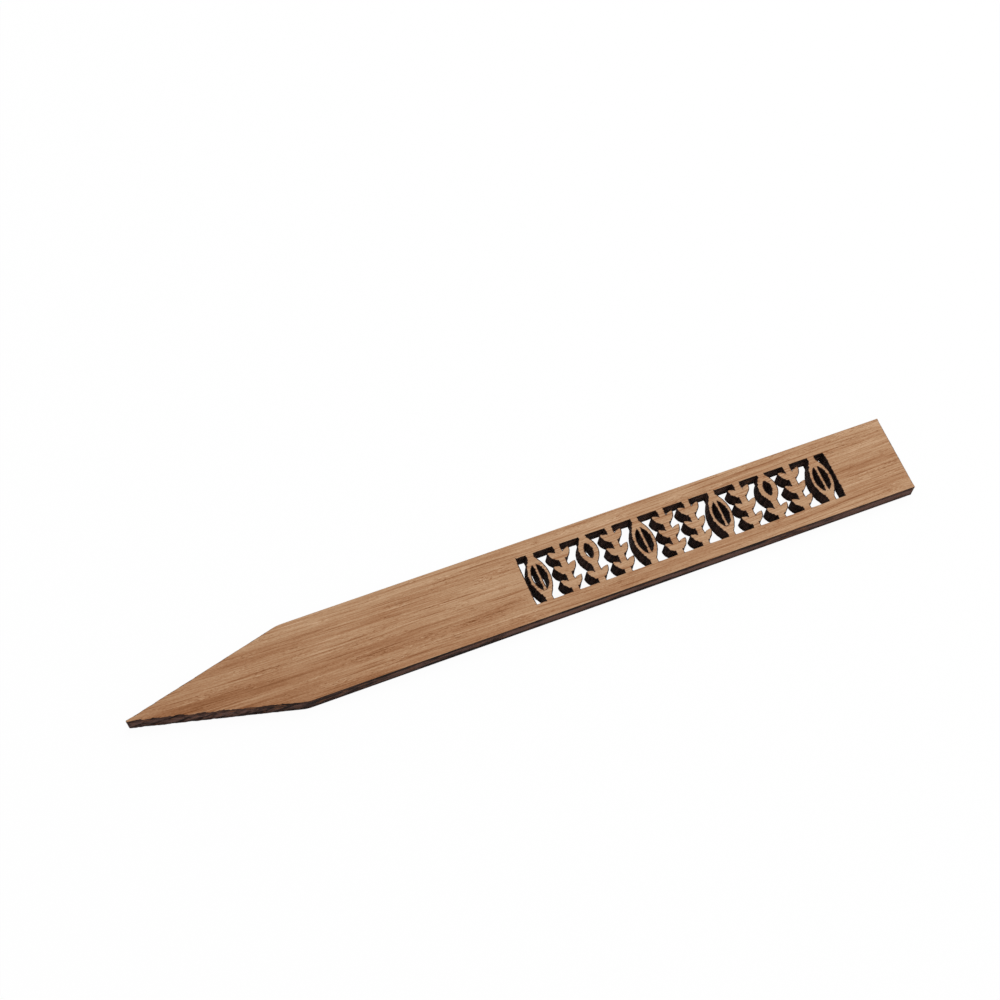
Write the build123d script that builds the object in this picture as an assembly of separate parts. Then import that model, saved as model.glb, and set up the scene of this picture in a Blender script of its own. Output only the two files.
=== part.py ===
from build123d import *
import math
import os

# Plant label stake: a pointed slat cut by laser from a three-ply sheet, with a pierced window near its square end.
# Millimetres. It lies on its back face: X runs along it with the point at -X, Y runs across it, Z is up.
# The origin is the middle of the bounding box's bottom.

# Outline of the slat
stake_length = 194.5
stake_width = 20.0
point_length = 39.0
tip_width = 0.35

# Layers of the sheet
face_ply_thickness = 0.9
glue_line_thickness = 0.1
core_ply_thickness = 2.2

# Pierced window: an upper and a lower rail stay whole, and a row of motifs joins them
window_length = 80.7
window_end_margin = 17.1
rail_width = 3.8
cut_overrun = 1.0

# The row of motifs, left half; the right half mirrors it
half_row = ("leaf", "sprig", "bud", "sprig", "leaf", "sprig")
motif_gap = 1.2
stem_width = 1.9

# Leaf: a pointed oval from rail to rail with a slit each side of its midrib
leaf_border = 1.1
leaf_slit_end_margin = 2.4
midrib_width = 1.0

# Leaflets: small pointed ovals that rise in pairs from a stem
leaflet_width = 1.9
leaflet_rise_angle = 44.0
leaflet_foot_gap = 0.9
leaflet_head_gap = 1.3
sprig_pair_count = 3

# Bud: a pointed oval under the upper rail, with an eyelet, over one pair of leaflets
bud_length = 8.0
bud_width = 5.0
eyelet_length = 4.2
eyelet_width = 1.6

# Sizes that follow from those above
window_height = stake_width - 2 * rail_width
window_centre_x = stake_length / 2 - window_end_margin - window_length / 2
motif_pitch = window_length / (2 * len(half_row))
motif_width = motif_pitch - motif_gap
leaflet_length = motif_width / 2 / math.cos(math.radians(leaflet_rise_angle))
leaflet_rise = leaflet_length * math.sin(math.radians(leaflet_rise_angle))
lowest_leaflet_y = leaflet_foot_gap - window_height / 2
highest_leaflet_y = window_height / 2 - leaflet_head_gap - leaflet_rise


def slat():
    """The slat seen from above: a rectangle whose -X end tapers to a small flat tip."""
    square_end_x = stake_length / 2
    shoulder_x = point_length - stake_length / 2
    tip_x = -stake_length / 2
    return make_face(
        Polyline(
            (square_end_x, -stake_width / 2),
            (square_end_x, stake_width / 2),
            (shoulder_x, stake_width / 2),
            (tip_x, tip_width / 2),
            (tip_x, -tip_width / 2),
            (shoulder_x, -stake_width / 2),
            close=True,
        )
    )


def pointed_oval(length, width):
    """A leaf shape of two arcs, along +X from the origin."""
    upper = ThreePointArc((0, 0), (length / 2, width / 2), (length, 0))
    lower = ThreePointArc((length, 0), (length / 2, -width / 2), (0, 0))
    return make_face([upper, lower])


def upright_oval(length, width, centre_y):
    """A pointed oval that stands on its point, on the motif's axis."""
    return Pos(0, centre_y - length / 2) * Rot(0, 0, 90) * pointed_oval(length, width)


def stem():
    """The bar on the motif's axis that joins the rails; it runs on into both of them."""
    return Rectangle(stem_width, window_height + 2 * cut_overrun)


def leaflet_pair(foot_y):
    """Two leaflets that rise to the left and right of the stem."""
    leaflet = pointed_oval(leaflet_length, leaflet_width)
    right = Pos(0, foot_y) * Rot(0, 0, leaflet_rise_angle) * leaflet
    left = Pos(0, foot_y) * Rot(0, 0, 180 - leaflet_rise_angle) * leaflet
    return right + left


def leaf():
    """A leaf from rail to rail, opened each side of its midrib."""
    slit_length = window_height - 2 * leaf_slit_end_margin
    slit_width = motif_width - 2 * leaf_border
    midrib = Rectangle(midrib_width, window_height)
    slits = upright_oval(slit_length, slit_width, 0) - midrib
    return stem() + upright_oval(window_height, motif_width, 0) - slits


def sprig():
    """A stem with evenly spaced pairs of leaflets."""
    step = (highest_leaflet_y - lowest_leaflet_y) / (sprig_pair_count - 1)
    wood = stem()
    for pair in range(sprig_pair_count):
        wood += leaflet_pair(lowest_leaflet_y + pair * step)
    return wood


def bud():
    """A bud with an eyelet, on a stem with one pair of leaflets."""
    centre_y = (window_height - bud_length) / 2
    wood = stem() + leaflet_pair(lowest_leaflet_y) + upright_oval(bud_length, bud_width, centre_y)
    return wood - upright_oval(eyelet_length, eyelet_width, centre_y)


def pierced_slat():
    """The slat with everything cut out of its window but the motifs."""
    motifs = {"leaf": leaf(), "sprig": sprig(), "bud": bud()}
    window = Pos(window_centre_x, 0) * Rectangle(window_length, window_height)
    row = half_row + half_row[::-1]
    for index, name in enumerate(row):
        offset = (index - (len(row) - 1) / 2) * motif_pitch
        window -= Pos(window_centre_x + offset, 0) * motifs[name]
    return slat() - window


def main():
    os.makedirs("parts", exist_ok=True)
    layers = (
        ("back_face_ply", face_ply_thickness),
        ("back_glue_line", glue_line_thickness),
        ("core_ply", core_ply_thickness),
        ("front_glue_line", glue_line_thickness),
        ("front_face_ply", face_ply_thickness),
    )
    outline = pierced_slat()
    bottom = 0
    for name, thickness in layers:
        layer = Pos(0, 0, bottom) * extrude(outline, amount=thickness)
        layer.label = name
        export_step(layer, f"parts/{name}.step")
        bottom += thickness


main()
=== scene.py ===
"""Looks of the plant label stake: laser-cut three-ply wood on a pale floor, seen from above.

Lengths are in millimetres until a mesh, a light or the camera is made.
Colours are written as 0 to 255 display values.
"""

import math
from collections import namedtuple

import bpy
import numpy as np
from mathutils import Matrix, Vector, noise
from mathutils.geometry import delaunay_2d_cdt
from mathutils.kdtree import KDTree


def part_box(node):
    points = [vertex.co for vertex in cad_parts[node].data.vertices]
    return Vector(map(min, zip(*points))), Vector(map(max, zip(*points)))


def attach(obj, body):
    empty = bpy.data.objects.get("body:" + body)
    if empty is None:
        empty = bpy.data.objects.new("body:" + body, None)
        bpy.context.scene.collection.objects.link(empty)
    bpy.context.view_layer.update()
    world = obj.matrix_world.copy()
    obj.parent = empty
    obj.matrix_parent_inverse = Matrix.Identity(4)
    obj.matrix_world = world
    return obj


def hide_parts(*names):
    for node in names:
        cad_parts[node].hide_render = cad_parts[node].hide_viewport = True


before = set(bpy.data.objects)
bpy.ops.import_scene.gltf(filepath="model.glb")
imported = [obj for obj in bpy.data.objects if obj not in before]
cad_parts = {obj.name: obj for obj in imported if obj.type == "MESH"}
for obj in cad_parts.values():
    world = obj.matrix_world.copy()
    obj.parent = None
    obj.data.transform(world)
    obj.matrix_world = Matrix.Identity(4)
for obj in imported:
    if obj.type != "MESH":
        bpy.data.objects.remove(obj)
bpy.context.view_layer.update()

MM = 0.001

# Size of the whole, read from the frame
highest_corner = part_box("front_face_ply")[1]
half_length = highest_corner.x / MM
full_height = highest_corner.z / MM

# Camera, as the photograph was taken; angles in degrees
camera_target = (3.18, 23.5, 0.0)
camera_distance = 542.1
camera_azimuth = 32.73
camera_elevation = 62.27
camera_roll = 10.93
focal_length = 82.3
sensor_width = 36.0
clip_start = 10.0

# A noise in a material: size of its spots, shift that sets it apart, amount and strength of its finer detail
Noise = namedtuple("Noise", "size shift detail roughness", defaults=(2.0, 0.5))

# Floor, which lies just under the object and is nearly white to the camera
floor_reach = 6000.0
floor_drop = 0.02
floor_greys = (0.97, 1.0)
floor_noise = Noise((4, 4, 4), 2.0, detail=3)
floor_roughness = 0.9
floor_white_share = 0.96

# Light from all round, and a square soft box
backdrop_white_share = 1.0
room_light = 0.47
lamp_place = (350, 250, 900)
lamp_size = 700
lamp_power = 6.0

# Outline of a layer, as it is read from its CAD node
same_height = 0.001
place_digits = 4
sample_step = 0.25
sharpest_miter = 1.6

# A corner is sharp where its mitre widens by more than this
sharp_widening = 1.035

# Blunt corners of the slat are averaged with these samples on each side, this far or more from a sharp one
worn_samples = 4
wear_distance = 2.0

# Caps: triangles lie inside the outline, and inner points stay at this share of their distance to the rim
fill_inside = 1
merge_distance = 1e-6
least_clearance = 0.9

# Edges that bend by more degrees than this are shaded as sharp ones
smooth_angle = 40

# Burnt relief of the cut: ripples and teeth follow the face's grain, and flutes run down the wall
relief_lift = 0.3
relief_height = 8.0
ripple_depth = 0.2
ripple_width = 0.42
ripple_length = 26.0
tooth_depth = 0.13
tooth_width = 0.2
tooth_length = 3.0
flute_depth = 0.05
flute_width = 0.45

# How slanted the relief runs down the wall, by place along the stake
fibre_leans = ((-58, 0.45), (0, 0.18))

# How far the walls are burnt back, and how much further the core, the glue lines and the arris are
burn_back = 0.03
core_recess = 0.03
glue_recess = 0.05
arris_round = 0.05

# Share of the relief by how far a wall crosses the grain, by place along the stake and by height
crossing_shares = ((0, 0.1), (0.2, 0.9), (0.3, 1), (1, 0.85))
place_shares = ((-97, 1.7), (-82, 1.6), (-75, 1.1), (-64, 0.7), (-60, 0), (-50, 1))
height_shares = ((0, 0.4), (2.5, 0.7), (4.2, 1))
share_blend_samples = 6

# Walls that face away from the smoke's side stay smoother
smoke_side = (-0.7, -0.7)
smoke_blend = 0.5
smooth_side_share = 0.18

# Relief is calmer beside a sharp corner and towards the tip
calm_corner_length = 1.1
calm_corner_least_share = 0.3
calm_tip_length = 2.5
calm_tip_least_share = 0.15

# The tip is burnt back further down the wall
tip_undercut = 0.6
tip_undercut_length = 3.0

# Scorch of the wall and of the arris, where 0 is clean wood
wall_scorch = 2.0
arris_scorch = 0.95

# How much more scorch a cut across the grain has on arris and face, in the window and on the outline
window_scorch = 1.0
outline_scorch = 0.2

# Scorch on the face beside the cut: distance from the arris, and the scorch there
scorch_rings = ((0.1, 0.55), (0.26, 0.15), (0.6, 0.0))

# Rings of each kind of wall: height as a share of the layer, then share of its recess or arris rounding
core_levels = ((0, 0), (0.1, 1), (0.3, 1), (0.5, 1), (0.7, 1), (0.9, 1), (1, 0))
glue_levels = ((0, 0), (0.5, 1), (1, 0))
face_levels = ((0, 0), (0.3, 0), (0.6, 0), (0.84, 0), (0.95, 0.3), (1, 1))

# Wood of the faces, from darkest to lightest: tone and colour
wood_tones = (
    (0.0, (121, 72, 36)),
    (0.3, (155, 106, 71)),
    (0.5, (173, 128, 93)),
    (0.7, (188, 149, 114)),
    (1.0, (213, 177, 144)),
)

# Way of the grain: its slope half way along the stake, and how much that grows with each millimetre
grain_slope = -0.008
grain_slope_change = 0.0004

# Slow waves of the grain, and how far they push it about
grain_wave = 2.0
wave_noise = Noise((70, 14, 14), 3.1, detail=1)

# Tone of the wood: its middle, and its slow change from the tip up to this place along the stake
middle_tone = 0.58
tip_drift = -0.04
end_drift = 0.08
drift_end = 30

# How far each noise swings the tone
band_noise = Noise((60, 3.4, 3.4), 1.3)
band_swing = 0.3
streak_noise = Noise((34, 0.55, 0.55), 5.9, roughness=0.6)
streak_swing = 0.5
fibre_noise = Noise((9, 0.2, 0.2), 9.2, roughness=0.6)
fibre_swing = 0.6
grit_noise = Noise((0.5, 0.15, 0.15), 51.3, detail=1)
grit_swing = 0.4

# Marks in the wood: each fades in between the two values of its edge, and changes the tone
line_noise = Noise((16, 0.25, 0.25), 15.7, detail=1)
line_edge = (0.56, 0.7)
line_change = -0.32
gleam_noise = Noise((12, 0.25, 0.25), 60.1, detail=1)
gleam_edge = (0.58, 0.74)
gleam_change = 0.16

# Pores and flecks are marks that come only in zones, and a pore also lowers the raised grain
pore_zone_noise = Noise((9, 1.3, 1.3), 18.2)
pore_zone_edge = (0.5, 0.64)
pore_noise = Noise((0.9, 0.16, 0.16), 21.4, detail=1)
pore_edge = (0.56, 0.7)
pore_change = -0.3
pore_height = -0.8
fleck_noise = Noise((1.3, 0.2, 0.2), 27.5, detail=1)
fleck_edge = (0.56, 0.72)
fleck_change = 0.2

# Zones and bold fibres of the front face: centre, half length, half width, slope in degrees, strength
dark_zones = (
    (-88, -2.0, 20, 2.3, -2.0, -0.32),
    (-64, -3.3, 24, 2.2, -2.0, -0.26),
    (-38, -4.1, 24, 2.2, -2.5, -0.25),
    (-14, -4.9, 18, 1.8, -0.6, -0.28),
    (-68, 4.4, 20, 1.8, -2.0, -0.18),
    (-26, 5.3, 22, 1.3, -0.6, -0.06),
    (-66, -7.8, 15, 2.3, -9.0, -0.2),
    (-47, -9.4, 24, 1.9, 0.0, -0.19),
    (-16, -9.2, 26, 1.7, 0.0, -0.21),
    (-5, 8.9, 10, 1.4, -1.7, -0.22),
    (22, -2.7, 22, 1.4, 0.5, -0.1),
    (62, -0.7, 22, 1.3, 2.0, -0.1),
    (88, -0.2, 17, 1.4, 0.5, -0.2),
    (70, 8.4, 18, 1.4, 0.5, -0.08),
    (87, 6.2, 14, 1.2, 0.5, -0.12),
    (89, -6.5, 16, 1.8, 1.0, -0.2),
    (20, -9.0, 28, 1.6, 0.0, -0.15),
    (-33, -2.4, 26, 1.5, -0.8, -0.22),
    (-6, -3.6, 11, 1.6, 0.0, -0.17),
    (-60, -7.3, 12, 1.6, -2.0, -0.1),
    (-58, -5.9, 14, 1.4, -1.0, -0.13),
    (46, -7.8, 38, 1.7, 0.0, -0.13),
    (-32, 3.2, 24, 1.5, -0.5, -0.18),
    (-75, -1.6, 16, 1.3, -1.0, -0.17),
    (84, -1.5, 8, 1.2, 0.0, -0.12),
    (8, 9.2, 14, 1.0, 0.0, -0.12),
)
light_zones = (
    (-54, 7.8, 30, 2.8, 0.3, 0.17),
    (-23, 8.4, 26, 2.0, 0.3, 0.16),
    (-8, 0.7, 24, 2.6, 0.3, 0.14),
    (14, 7.6, 16, 2.0, 0.0, 0.1),
    (44, 7.6, 16, 2.2, 0.0, 0.15),
    (88, 4.1, 15, 1.4, 0.5, 0.08),
    (92, 9.2, 14, 1.3, 0.0, 0.16),
    (88, -4.2, 14, 1.4, 0.5, 0.04),
    (23, 7.5, 13, 1.6, 0.0, 0.15),
    (-50, 0.1, 16, 1.2, -1.0, 0.18),
)
pore_zones = (
    (-40, -4.6, 16, 1.5, -2.5, 1.0),
    (-14, -5.2, 13, 1.2, -1.0, 1.0),
    (-6, 4.2, 11, 1.6, -1.0, 0.8),
    (88, 5.8, 13, 2.2, 1.0, 0.9),
    (-50, -8.6, 12, 1.2, 0.0, 0.8),
)
bold_fibres = (
    (-15, 4.8, 8, 0.16, -1.5, -0.3),
    (-5, 4.2, 5, 0.16, -4.0, -0.25),
    (-32, 6.3, 13, 0.2, -1.0, -0.18),
    (-37, 3.0, 12, 0.16, 0.0, -0.2),
    (-34, 1.5, 8, 0.16, -4.5, -0.2),
    (-42, 0.7, 4, 0.16, -1.0, -0.25),
    (-10, 0.7, 10, 0.16, -1.3, -0.2),
    (-12, -6.3, 6, 0.18, -1.3, -0.25),
    (-10, 7.7, 10, 0.2, -0.7, -0.22),
    (-83, -2.9, 5, 0.18, -5.0, -0.22),
    (86, -2.0, 6, 0.16, 1.5, -0.25),
    (88, -6.2, 7, 0.2, 2.0, -0.2),
)

# Colours of the burnt cut
coal = (30, 19, 16)
soot = (76, 54, 47)
core_soot = (102, 75, 67)
ember_brown = (122, 80, 54)

# Black of a cut along the grain: its grooves, darker partly from deeper char and partly from painted shade,
# and streaks of char that lean by this many degrees
char_lean = -20
char_noise = Noise((6, 0.4, 2.5), 7.7)
char_weight = 1.3
groove_char_and_shade_weight = 1.1

# Black of a cut across the grain: an even char, its grooves, darker partly from deeper char and partly from
# painted shade, and its flutes
end_char = 0.05
end_groove_char_and_shade_weight = 0.3
flute_noise = Noise((0.8, 0.8, 12), 44.9, detail=3, roughness=0.6)
flute_weight = 1.8

# From where to where a cut turns into one across the grain, and soot turns to coal
crossing_edge = (0.35, 0.75)
coal_edge = (0.6, 1.35)

# Specks where brown wood shows: where they start in their noise on each layer, and how soon they are full
speck_noise = Noise((2.5, 0.25, 0.6), 12.3)
speck_blend = 0.12
face_speck_start = 0.62
core_speck_start = 0.58
glue_speck_start = 0.7

# Where the cut is darker or less dark, such as darker at the foot of the near long edge: centre, reach along
# each axis, change
cut_tone_zones = (
    ((-80, -5, 3.6), (28, 12, 3.0), -0.3),
    ((-34, -10, 0.0), (42, 4, 1.4), 0.62),
    ((-38, -10, 2.0), (30, 3, 1.6), 0.2),
    ((26, -10, 0.0), (36, 4, 1.3), 0.5),
    ((20, -10, 2.1), (46, 3, 1.5), -0.55),
    ((68, -10, 1.2), (44, 4, 4.0), -0.25),
)

# Where the cut is flaky: centre, reach along each axis
flaky_zone = ((-80, -5, 2.1), (28, 9, 6))
flake_noise = Noise((1.8, 0.5, 0.9), 71.9, detail=1)
flake_weight = 1.6

# Where more brown wood shows: centre, reach along each axis
ember_zones = (
    ((-93, -1.2, 3.4), (1.8, 1.5, 0.4)),
    ((-83.6, -3.6, 3.7), (1.5, 1.5, 0.3)),
    ((-74.7, -5.8, 3.3), (1.6, 1.5, 0.35)),
    ((-70.6, -6.8, 3.8), (2.0, 1.5, 0.3)),
    ((-64.4, -8.4, 3.4), (2.2, 1.5, 0.35)),
)
ember_weight = 1.4

# Edge of the scorch on a face, broken up by dots
scorch_start = -1.5
dot_noise = Noise((0.9, 0.35, 0.9), 33.1)
dot_weight = 2.4
scorch_edge = (0.3, 0.8)

# Feel of the surfaces: all are matt, and the burnt ones are rougher than the wood
specular = 0.08
bump_strength = 0.6
bump_depth = 0.05
wood_roughness = 0.6
burnt_roughness = 0.85
edge_noise = Noise((0.6, 0.6, 0.9), 40.3, detail=1)
edge_noise_range = (0.3, 0.7)
edge_roughness = (0.75, 0.9)

# Sockets of a mix node that mixes colours: its share and two colours, and the outcome
mix_inputs = (0, 6, 7)
mix_output = 2


def linear(colour):
    """A display colour as the linear one that a shader socket takes, by the sRGB curve."""
    shares = [value / 255 for value in colour]
    return tuple(s / 12.92 if s <= 0.04045 else ((s + 0.055) / 1.055) ** 2.4 for s in shares) + (1.0,)


def cap_loops(mesh):
    """The closed outlines of a layer's top face, each in order with the wood on its left."""
    places = [vertex.co / MM for vertex in mesh.vertices]
    top = max(place.z for place in places)
    border = set()
    for polygon in mesh.polygons:
        corners = [places[index] for index in polygon.vertices]
        if min(corner.z for corner in corners) < top - same_height:
            continue
        keys = [(round(corner.x, place_digits), round(corner.y, place_digits)) for corner in corners]
        for edge in zip(keys, keys[1:] + keys[:1]):
            if edge[::-1] in border:
                border.remove(edge[::-1])
            else:
                border.add(edge)
    following = dict(border)
    loops = []
    while following:
        start = min(following)
        loop = [start]
        point = following.pop(start)
        while point != start:
            loop.append(point)
            point = following.pop(point)
        loops.append(np.array(loop))
    return loops


def sampled(loop):
    """The loop with its long edges divided evenly."""
    points = []
    for start, end in zip(loop, np.roll(loop, -1, axis=0)):
        count = max(1, round(np.hypot(*(end - start)) / sample_step))
        points += [start + (end - start) * step / count for step in range(count)]
    return np.array(points)


def inward(points):
    """The direction into the wood at each point of a loop, mitred at the corners."""
    ahead = np.roll(points, -1, axis=0) - points
    ahead /= np.hypot(*ahead.T)[:, None]
    left = np.stack([-ahead[:, 1], ahead[:, 0]], axis=1)
    both = left + np.roll(left, 1, axis=0)
    both /= np.hypot(*both.T)[:, None]
    widening = 1 / (both * left).sum(axis=1)
    return both * np.minimum(widening, sharpest_miter)[:, None]


def blended(values, reach):
    """Each value of a loop, averaged with this many neighbours on each side."""
    return np.mean([np.roll(values, step, axis=0) for step in range(-reach, reach + 1)], axis=0)


def worn(points):
    """The slat's outline with its blunt corners softened; its sharp corners stay."""
    sharp = np.hypot(*inward(points).T) > sharp_widening
    share = np.clip(distance_to(points[sharp], points) / wear_distance - 1, 0, 1)
    return points + (blended(points, worn_samples) - points) * share[:, None]


def noise_at(*coordinates):
    """Smooth noise from -1 to 1 at each place."""
    return np.array([noise.noise(Vector(place)) for place in zip(*np.broadcast_arrays(*coordinates))])


def smooth_step(values, start, end):
    """0 up to start, 1 from end, and a smooth rise between them."""
    share = np.clip((values - start) / (end - start), 0, 1)
    return share * share * (3 - 2 * share)


def lifted_noise(*coordinates):
    """Noise from 0 to 1 that is 0 at a good part of the places."""
    return np.clip(relief_lift + noise_at(*coordinates), 0, 1)


def cut_relief(points, height):
    """How deep the fire can eat into the wall beside each point, at this height."""
    x, y = points.T
    lean = height * np.interp(x, *zip(*fibre_leans))
    level = height / relief_height
    ripple = lifted_noise(x / ripple_length, (y + lean) / ripple_width, level)
    tooth = lifted_noise(x / tooth_length, (y + lean) / tooth_width, level)
    flute = lifted_noise((x + lean) / flute_width, (y + lean) / flute_width, level)
    return ripple_depth * ripple + tooth_depth * tooth + flute_depth * flute


def distance_to(targets, points):
    """How far each point is from the nearest of the targets."""
    tree = KDTree(len(targets))
    for index, target in enumerate(targets):
        tree.insert((*target, 0), index)
    tree.balance()
    return np.array([tree.find((*point, 0))[2] for point in points])


def ring_inside(ring, directions, distance):
    """Points this far inside the ring, after their numbers in it; those that crowd the ring are left out."""
    offset = ring + directions * distance
    kept = np.flatnonzero(distance_to(ring, offset) > least_clearance * distance)
    return kept, offset[kept]


def cap_triangles(points, slat, holes):
    """Triangles that fill the slat's outline and leave its holes open."""
    rounds = [slat] + [hole[::-1] for hole in holes]
    places = [Vector(point) for point in points]
    filled = delaunay_2d_cdt(places, [], rounds, fill_inside, merge_distance)
    _, _, faces, points_of, _, rounds_of = filled
    wood = [face for face, inside in zip(faces, rounds_of) if inside == [0]]
    return [tuple(points_of[corner][0] for corner in face) for face in wood]


class Layer:
    """One layer of the sheet, as a closed mesh of wall rings and two caps."""

    def __init__(self, name, loops):
        self.name = name
        self.outline = np.concatenate(loops)
        directions = [inward(loop) for loop in loops]
        self.inward = np.concatenate(directions)
        ends = np.cumsum([len(loop) for loop in loops]).tolist()
        self.loops = [list(range(start, end)) for start, end in zip([0] + ends, ends)]
        shares = [np.interp(np.abs(way[:, 0]), *zip(*crossing_shares)) for way in directions]
        self.rough = np.concatenate([blended(share, share_blend_samples) for share in shares])
        away = smooth_step(self.inward @ smoke_side, -smoke_blend, smoke_blend)
        along = np.interp(self.outline[:, 0], *zip(*place_shares))
        self.relief_share = self.rough * along * (1 - (1 - smooth_side_share) * away)
        end_scorch = np.full(len(self.outline), window_scorch)
        end_scorch[self.loops[0]] = outline_scorch
        self.scorch_share = self.rough * (1 + end_scorch * np.abs(self.inward[:, 0]) * (1 + away))
        from_tip = self.outline[:, 0] + half_length
        sharp = np.hypot(*self.inward.T) > sharp_widening
        from_corner = distance_to(self.outline[sharp], self.outline)
        calm_corner = np.clip(from_corner / calm_corner_length, calm_corner_least_share, 1)
        self.calm = np.minimum(calm_corner, np.clip(from_tip / calm_tip_length, calm_tip_least_share, 1))
        self.undercut = tip_undercut * np.clip(1 - from_tip / tip_undercut_length, 0, 1) ** 2
        self.places = []
        self.scorch = []
        self.groove_char_and_shade = []
        self.across = []
        self.faces = []

    def add_points(self, points, height, scorch, sources, groove_char_and_shade):
        """Adds points at one height that stem from these outline points, and returns their numbers."""
        first = len(self.places)
        self.places += [(x, y, height) for x, y in points]
        self.scorch += np.broadcast_to(scorch, len(points)).tolist()
        self.groove_char_and_shade += np.broadcast_to(groove_char_and_shade, len(points)).tolist()
        self.across += np.abs(self.inward[sources, 0]).tolist()
        return list(range(first, len(self.places)))

    def add_wall(self, levels, low, high, recess, rounding):
        """Adds the burnt wall, ring by ring, and returns its rings of points and of numbers."""
        rings = []
        for share, extra_share in levels:
            height = low + (high - low) * share
            relief = cut_relief(self.outline, height)
            relief_share = self.relief_share * np.interp(height, *zip(*height_shares))
            depth = relief * relief_share + burn_back * self.rough + (recess + rounding) * extra_share
            depth = depth * self.calm
            ring = self.outline + self.inward * depth[:, None]
            ring[:, 0] += self.undercut * (1 - height / full_height)
            # How deep the relief is here, as a share of its deepest; the materials darken the grooves by it,
            # partly as deeper char and partly as painted shade
            groove_char_and_shade = relief / (ripple_depth + tooth_depth + flute_depth)
            rings.append((ring, self.add_points(ring, height, wall_scorch, slice(None), groove_char_and_shade)))
        edges = [edge for loop in self.loops for edge in zip(loop, loop[1:] + loop[:1])]
        for (_, below), (_, above) in zip(rings, rings[1:]):
            self.faces += [(below[a], below[b], above[b], above[a]) for a, b in edges]
        return rings

    def add_cap(self, ring, numbers, height, faces_up, shows):
        """Closes one end of the wall; a cap that shows has rings inside it that carry the scorch."""
        points = ring
        if shows:
            for number, share in zip(numbers, self.scorch_share):
                self.scorch[number] = arris_scorch * share
            for distance, darkness in scorch_rings:
                kept, inside = ring_inside(ring, self.inward, distance)
                scorch = darkness * self.scorch_share[kept]
                numbers = numbers + self.add_points(inside, height, scorch, kept, 0)
                points = np.concatenate([points, inside])
        for face in cap_triangles(points, self.loops[0], self.loops[1:]):
            numbered = tuple(numbers[corner] for corner in face)
            self.faces.append(numbered if faces_up else numbered[::-1])

    def mesh(self):
        """The mesh in metres, with what its materials read at each point."""
        made = bpy.data.meshes.new(self.name)
        made.from_pydata(np.array(self.places) * MM, [], self.faces)
        # The materials read the scorch, the depth of the grooves for their char and painted shade, and how
        # far each wall crosses the grain
        for name, values in (("scorch", self.scorch), ("groove_char_and_shade", self.groove_char_and_shade), ("across", self.across)):
            made.attributes.new(name, "FLOAT", "POINT").data.foreach_set("value", values)
        made.shade_smooth()
        made.set_sharp_from_angle(angle=math.radians(smooth_angle))
        return made


def build_layer(name, levels, slot, recess=0.0, rounding=0.0, shown_cap=None):
    """Makes the piece that stands for one CAD layer."""
    corner_low, corner_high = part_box(name)
    low, high = corner_low.z / MM, corner_high.z / MM
    slat, *holes = [sampled(loop) for loop in cap_loops(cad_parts[name].data)]
    layer = Layer(name, [worn(slat)] + holes)
    if shown_cap == "low":
        rings = layer.add_wall(levels, high, low, recess, rounding)[::-1]
        layer.faces = [face[::-1] for face in layer.faces]
    else:
        rings = layer.add_wall(levels, low, high, recess, rounding)
    layer.add_cap(*rings[0], low, False, shown_cap == "low")
    layer.add_cap(*rings[-1], high, True, shown_cap == "high")
    piece = bpy.data.objects.new(name + "_piece", layer.mesh())
    piece.data.materials.append(materials[slot])
    bpy.context.scene.collection.objects.link(piece)
    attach(piece, "root")
    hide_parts(name)


def add_node(tree, kind, **settings):
    """A new node of this kind with these settings."""
    made = tree.nodes.new(kind)
    for name, value in settings.items():
        setattr(made, name, value)
    return made


def feed(tree, socket, value):
    """Links an output to the socket, or sets the socket's own value."""
    if isinstance(value, bpy.types.NodeSocket):
        tree.links.new(value, socket)
    else:
        socket.default_value = value


def maths(tree, operation, *values):
    """The outcome of one operation on these values, each a number or an output."""
    made = add_node(tree, "ShaderNodeMath", operation=operation)
    for socket, value in zip(made.inputs, values):
        feed(tree, socket, value)
    return made.outputs[0]


def weighted_sum(tree, start, terms):
    """The start plus each value times its weight."""
    total = start
    for value, weight in terms:
        total = maths(tree, "MULTIPLY_ADD", value, weight, total)
    return total


def rise(tree, value, start, end, low=0.0, high=1.0):
    """A smooth rise from low at start to high at end."""
    made = add_node(tree, "ShaderNodeMapRange", interpolation_type="SMOOTHSTEP")
    for socket, given in zip(made.inputs, (value, start, end, low, high)):
        feed(tree, socket, given)
    return made.outputs[0]


def blend(tree, share, first, second):
    """Mixes two colours."""
    made = add_node(tree, "ShaderNodeMix", data_type="RGBA")
    for number, given in zip(mix_inputs, (share, first, second)):
        feed(tree, made.inputs[number], given)
    return made.outputs[mix_output]


def colour_ramp(tree, value, tones):
    """The colour that belongs to the value, between the colours of the nearest tones."""
    made = add_node(tree, "ShaderNodeValToRGB")
    feed(tree, made.inputs[0], value)
    stops = made.color_ramp.elements
    while len(stops) < len(tones):
        stops.new(1.0)
    for stop, (position, colour) in zip(stops, tones):
        stop.position = position
        stop.color = linear(colour)
    return made.outputs[0]


def moved(tree, place, kind, shift=(0, 0, 0), scale=(1, 1, 1), turn=(0, 0, 0)):
    """The place after a shift, a scale and a turn in degrees."""
    mapping = add_node(tree, "ShaderNodeMapping", vector_type=kind)
    feed(tree, mapping.inputs["Vector"], place)
    mapping.inputs["Location"].default_value = shift
    mapping.inputs["Rotation"].default_value = [math.radians(angle) for angle in turn]
    mapping.inputs["Scale"].default_value = scale
    return mapping.outputs[0]


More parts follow.
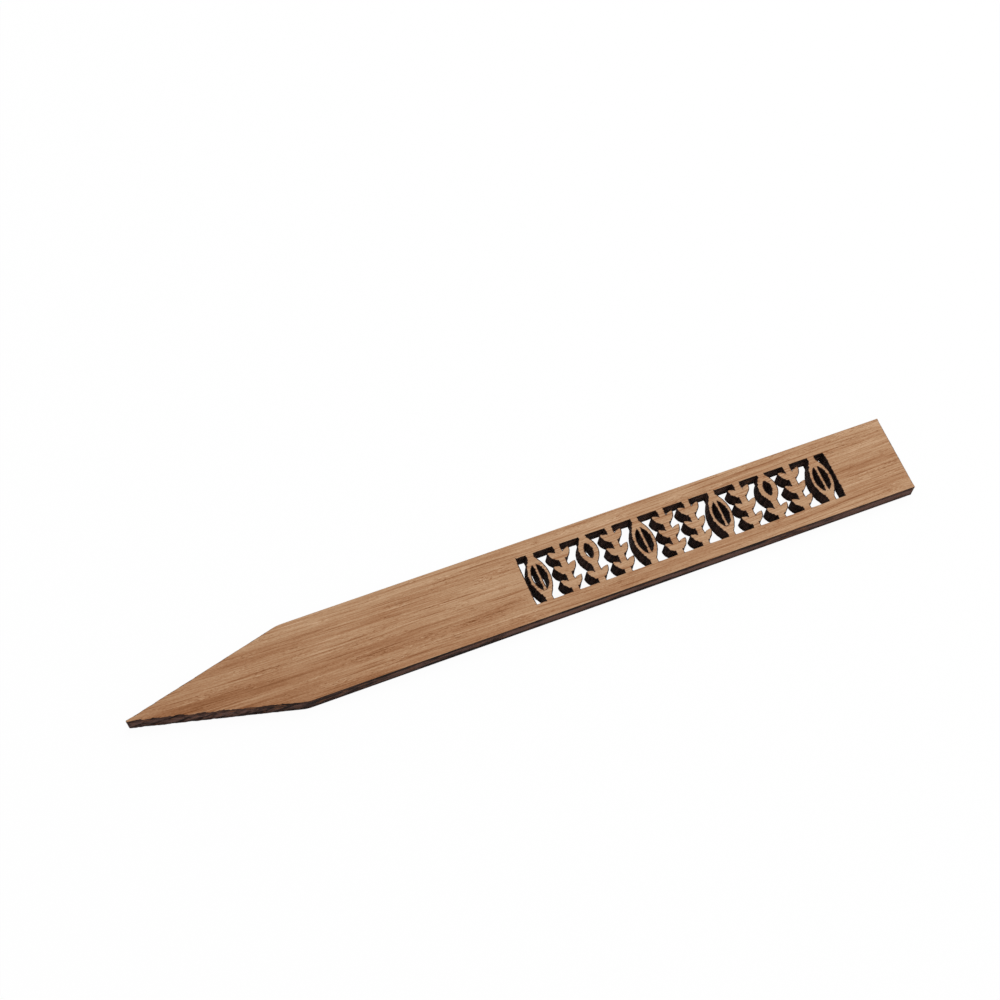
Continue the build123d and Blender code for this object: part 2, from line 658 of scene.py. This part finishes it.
def noise_value(tree, place, kind):
    """The value of a noise of this kind, from 0 to 1."""
    scale = [1 / length for length in kind.size]
    made = add_node(tree, "ShaderNodeTexNoise")
    feed(tree, made.inputs["Vector"], moved(tree, place, "POINT", [kind.shift] * 3, scale))
    feed(tree, made.inputs["Scale"], 1.0)
    feed(tree, made.inputs["Detail"], kind.detail)
    feed(tree, made.inputs["Roughness"], kind.roughness)
    return made.outputs[0]


def noise_marks(tree, place, kind, edge):
    """Marks where a noise of this kind is above its edge."""
    return rise(tree, noise_value(tree, place, kind), *edge)


def spot(tree, place, centre, reach, slope=0.0):
    """A soft spot, 1 at its centre and 0 beyond its reach along each axis."""
    inside = moved(tree, place, "TEXTURE", centre, reach, (0, 0, slope))
    distance = add_node(tree, "ShaderNodeVectorMath", operation="LENGTH")
    feed(tree, distance.inputs[0], inside)
    return rise(tree, distance.outputs["Value"], 0, 1, 1.0, 0.0)


def face_spot(tree, place, centre_x, centre_y, reach_along, reach_across, slope):
    """A long soft spot on the front face."""
    reach = (reach_along, reach_across, full_height / 2)
    return spot(tree, place, (centre_x, centre_y, full_height), reach, slope)


def face_spots(tree, place, zones):
    """The spots of a table of zones on the front face, each with its strength."""
    return [(face_spot(tree, place, *where), strength) for *where, strength in zones]


def place_in_mm(tree):
    """The place on the object, in millimetres."""
    coordinates = add_node(tree, "ShaderNodeTexCoord")
    scaled = add_node(tree, "ShaderNodeVectorMath", operation="SCALE")
    feed(tree, scaled.inputs[0], coordinates.outputs["Object"])
    scaled.inputs["Scale"].default_value = 1 / MM
    return scaled.outputs[0]


def bent_grain(tree, place):
    """The place, pushed about across the grain so that the grain drifts and runs in slow waves."""
    wave = maths(tree, "SUBTRACT", noise_value(tree, place, wave_noise), 0.5)
    along = add_node(tree, "ShaderNodeSeparateXYZ")
    feed(tree, along.inputs[0], place)
    drift = maths(tree, "MULTIPLY_ADD", along.outputs[0], grain_slope_change / 2, grain_slope)
    drift = maths(tree, "MULTIPLY", drift, along.outputs[0])
    parts = add_node(tree, "ShaderNodeCombineXYZ")
    feed(tree, parts.inputs["Y"], weighted_sum(tree, 0.0, [(wave, grain_wave), (drift, -1.0)]))
    bent = add_node(tree, "ShaderNodeVectorMath", operation="ADD")
    feed(tree, bent.inputs[0], place)
    feed(tree, bent.inputs[1], parts.outputs[0])
    return bent.outputs[0]


def face_tone(tree, place, grain):
    """How light the wood is, from 0 to 1, and the height of its raised grain."""
    along = add_node(tree, "ShaderNodeSeparateXYZ")
    feed(tree, along.inputs[0], place)
    drift = rise(tree, along.outputs[0], -half_length, drift_end, tip_drift, end_drift)
    bands = noise_value(tree, grain, band_noise)
    streaks = noise_value(tree, grain, streak_noise)
    fibres = noise_value(tree, grain, fibre_noise)
    grit = noise_value(tree, grain, grit_noise)
    lines = noise_marks(tree, grain, line_noise, line_edge)
    gleams = noise_marks(tree, grain, gleam_noise, gleam_edge)
    zones = noise_marks(tree, grain, pore_zone_noise, pore_zone_edge)
    zones = weighted_sum(tree, zones, face_spots(tree, place, pore_zones))
    pores = noise_marks(tree, grain, pore_noise, pore_edge)
    flecks = noise_marks(tree, grain, fleck_noise, fleck_edge)
    swings = [(bands, band_swing), (streaks, streak_swing), (fibres, fibre_swing), (grit, grit_swing)]
    marks = [(lines, line_change), (gleams, gleam_change)]
    marks.append((maths(tree, "MULTIPLY", pores, zones), pore_change))
    marks.append((maths(tree, "MULTIPLY", flecks, zones), fleck_change))
    spots = face_spots(tree, place, dark_zones + light_zones + bold_fibres)
    start = middle_tone - sum(weight for _, weight in swings) / 2
    tone = weighted_sum(tree, start, [(drift, 1.0)] + swings + marks + spots)
    return tone, weighted_sum(tree, 0.0, [(fibres, 1.0), (pores, pore_height)])


def cut_darkness(tree, place, leaning, across):
    """How black the cut is, with its grooves darkened partly as deeper char and partly as painted shade;
    across is 1 where it crosses the grain and 0 along it.
    """
    # Depth of the relief's grooves, which darkens them partly as deeper char and partly as painted shade
    groove_char_and_shade = add_node(tree, "ShaderNodeAttribute", attribute_name="groove_char_and_shade").outputs["Fac"]
    char = noise_value(tree, leaning, char_noise)
    flutes = noise_value(tree, place, flute_noise)
    of_the_grain = weighted_sum(tree, 0.0, [(groove_char_and_shade, groove_char_and_shade_weight), (char, char_weight)])
    of_the_ends = weighted_sum(tree, end_char, [(groove_char_and_shade, end_groove_char_and_shade_weight), (flutes, flute_weight)])
    flakes = maths(tree, "SUBTRACT", noise_value(tree, leaning, flake_noise), 0.5)
    flakes = maths(tree, "MULTIPLY", flakes, spot(tree, place, *flaky_zone))
    zones = [(spot(tree, place, centre, reach), change) for centre, reach, change in cut_tone_zones]
    darkness = maths(tree, "MULTIPLY", of_the_grain, maths(tree, "SUBTRACT", 1.0, across))
    return weighted_sum(tree, darkness, [(of_the_ends, across), (flakes, flake_weight)] + zones)


def brown_specks(tree, place, leaning, across, speck_start):
    """Where brown wood shows in the cut; it does so only along the grain."""
    specks = noise_marks(tree, leaning, speck_noise, (speck_start, speck_start + speck_blend))
    embers = [(spot(tree, place, centre, reach), ember_weight) for centre, reach in ember_zones]
    along = maths(tree, "SUBTRACT", 1.0, across)
    return maths(tree, "MULTIPLY", weighted_sum(tree, specks, embers), along)


def burnt_colour(tree, place, base, speck_start):
    """Charcoal: black in the grooves, partly from deeper char and partly from painted shade, soot of this
    base colour on the ridges, and specks of brown wood.
    """
    crossing = add_node(tree, "ShaderNodeAttribute", attribute_name="across").outputs["Fac"]
    across = rise(tree, crossing, *crossing_edge)
    leaning = moved(tree, place, "POINT", turn=(char_lean, 0, 0))
    darkness = cut_darkness(tree, place, leaning, across)
    colour = blend(tree, rise(tree, darkness, *coal_edge), linear(base), linear(coal))
    specks = brown_specks(tree, place, leaning, across, speck_start)
    return blend(tree, specks, colour, linear(ember_brown))


def new_material(name):
    """A material with a rough, barely glossy shader."""
    material = bpy.data.materials.new(name)
    material.use_nodes = True
    shader = material.node_tree.nodes["Principled BSDF"]
    shader.inputs["Specular IOR Level"].default_value = specular
    return material, material.node_tree, shader


def add_bump(tree, shader, height):
    """Lets the height show as a fine relief in the shading."""
    bump = add_node(tree, "ShaderNodeBump")
    bump.inputs["Strength"].default_value = bump_strength
    bump.inputs["Distance"].default_value = bump_depth * MM
    feed(tree, bump.inputs["Height"], height)
    feed(tree, shader.inputs["Normal"], bump.outputs[0])


def face_material():
    """Brown hardwood veneer whose cut edges are burnt."""
    material, tree, shader = new_material("face_wood")
    place = place_in_mm(tree)
    tone, height = face_tone(tree, place, bent_grain(tree, place))
    wood = colour_ramp(tree, tone, wood_tones)
    burnt = burnt_colour(tree, place, soot, face_speck_start)
    scorch = add_node(tree, "ShaderNodeAttribute", attribute_name="scorch").outputs["Fac"]
    dots = noise_value(tree, place, dot_noise)
    scorch = weighted_sum(tree, scorch_start, [(scorch, 1.0), (dots, dot_weight)])
    share = rise(tree, scorch, *scorch_edge)
    feed(tree, shader.inputs["Base Color"], blend(tree, share, wood, burnt))
    feed(tree, shader.inputs["Roughness"], rise(tree, share, 0, 1, wood_roughness, burnt_roughness))
    add_bump(tree, shader, height)
    return material


def edge_material(name, base, speck_start):
    """A layer of which only the burnt edge shows."""
    material, tree, shader = new_material(name)
    place = place_in_mm(tree)
    grit = noise_value(tree, place, edge_noise)
    feed(tree, shader.inputs["Base Color"], burnt_colour(tree, place, base, speck_start))
    feed(tree, shader.inputs["Roughness"], rise(tree, grit, *edge_noise_range, *edge_roughness))
    add_bump(tree, shader, grit)
    return material


def white_to_camera(tree, shader, share):
    """The surface with this share of plain white to camera, mirrors and glass; the light it sends stays."""
    path = add_node(tree, "ShaderNodeLightPath")
    seen = maths(tree, "MAXIMUM", path.outputs["Is Camera Ray"], path.outputs["Is Glossy Ray"])
    seen = maths(tree, "MAXIMUM", seen, path.outputs["Is Transmission Ray"])
    white = add_node(tree, "ShaderNodeEmission")
    mixed = add_node(tree, "ShaderNodeMixShader")
    feed(tree, mixed.inputs[0], maths(tree, "MULTIPLY", seen, share))
    feed(tree, mixed.inputs[1], shader)
    feed(tree, mixed.inputs[2], white.outputs[0])
    return mixed.outputs[0]


def add_floor():
    """A wide pale floor, nearly white to the camera but for the object's soft shadow."""
    reach = floor_reach * MM
    mesh = bpy.data.meshes.new("floor")
    corners = [(-reach, -reach, 0), (reach, -reach, 0), (reach, reach, 0), (-reach, reach, 0)]
    mesh.from_pydata(corners, [], [(0, 1, 2, 3)])
    floor = bpy.data.objects.new("floor", mesh)
    floor.location.z = -floor_drop * MM
    bpy.context.scene.collection.objects.link(floor)
    material, tree, shader = new_material("floor")
    mottle = noise_value(tree, place_in_mm(tree), floor_noise)
    darker, lighter = [(grey, grey, grey, 1) for grey in floor_greys]
    feed(tree, shader.inputs["Base Color"], blend(tree, mottle, darker, lighter))
    shader.inputs["Roughness"].default_value = floor_roughness
    output = tree.nodes["Material Output"]
    feed(tree, output.inputs["Surface"], white_to_camera(tree, shader.outputs[0], floor_white_share))
    mesh.materials.append(material)


def add_world():
    """Even white light from all round, and plain white behind everything."""
    world = bpy.data.worlds.new("studio")
    bpy.context.scene.world = world
    world.use_nodes = True
    tree = world.node_tree
    light = tree.nodes["Background"]
    light.inputs["Color"].default_value = (1, 1, 1, 1)
    light.inputs["Strength"].default_value = room_light
    seen = white_to_camera(tree, light.outputs[0], backdrop_white_share)
    feed(tree, tree.nodes["World Output"].inputs["Surface"], seen)


def add_lamp():
    """The soft box, which faces the object."""
    light = bpy.data.lights.new("key", "AREA")
    light.size = lamp_size * MM
    light.energy = lamp_power
    lamp = bpy.data.objects.new("key", light)
    lamp.location = Vector(lamp_place) * MM
    lamp.rotation_euler = Vector(lamp_place).to_track_quat("Z", "Y").to_euler()
    bpy.context.scene.collection.objects.link(lamp)


def add_camera():
    """The camera, turned and rolled about the line to its target."""
    data = bpy.data.cameras.new("camera")
    data.lens = focal_length
    data.sensor_width = sensor_width
    data.clip_start = clip_start * MM
    camera = bpy.data.objects.new("camera", data)
    turned = Matrix.Rotation(math.radians(-camera_azimuth), 4, "Z")
    tilted = Matrix.Rotation(math.radians(90 - camera_elevation), 4, "X")
    rolled = Matrix.Rotation(math.radians(camera_roll), 4, "Z")
    back = Matrix.Translation((0, 0, camera_distance * MM))
    camera.matrix_world = Matrix.Translation(Vector(camera_target) * MM) @ turned @ tilted @ rolled @ back
    bpy.context.scene.collection.objects.link(camera)
    bpy.context.scene.camera = camera


materials = {
    "face_veneer": face_material(),
    "core_veneer": edge_material("core_wood", core_soot, core_speck_start),
    "glue_film": edge_material("burnt_glue", coal, glue_speck_start),
}
build_layer("back_face_ply", face_levels, "face_veneer", rounding=arris_round, shown_cap="low")
build_layer("back_glue_line", glue_levels, "glue_film", recess=glue_recess)
build_layer("core_ply", core_levels, "core_veneer", recess=core_recess)
build_layer("front_glue_line", glue_levels, "glue_film", recess=glue_recess)
build_layer("front_face_ply", face_levels, "face_veneer", rounding=arris_round, shown_cap="high")

add_floor()
add_world()
add_lamp()
add_camera()

bpy.context.scene.view_settings.view_transform = "Standard"
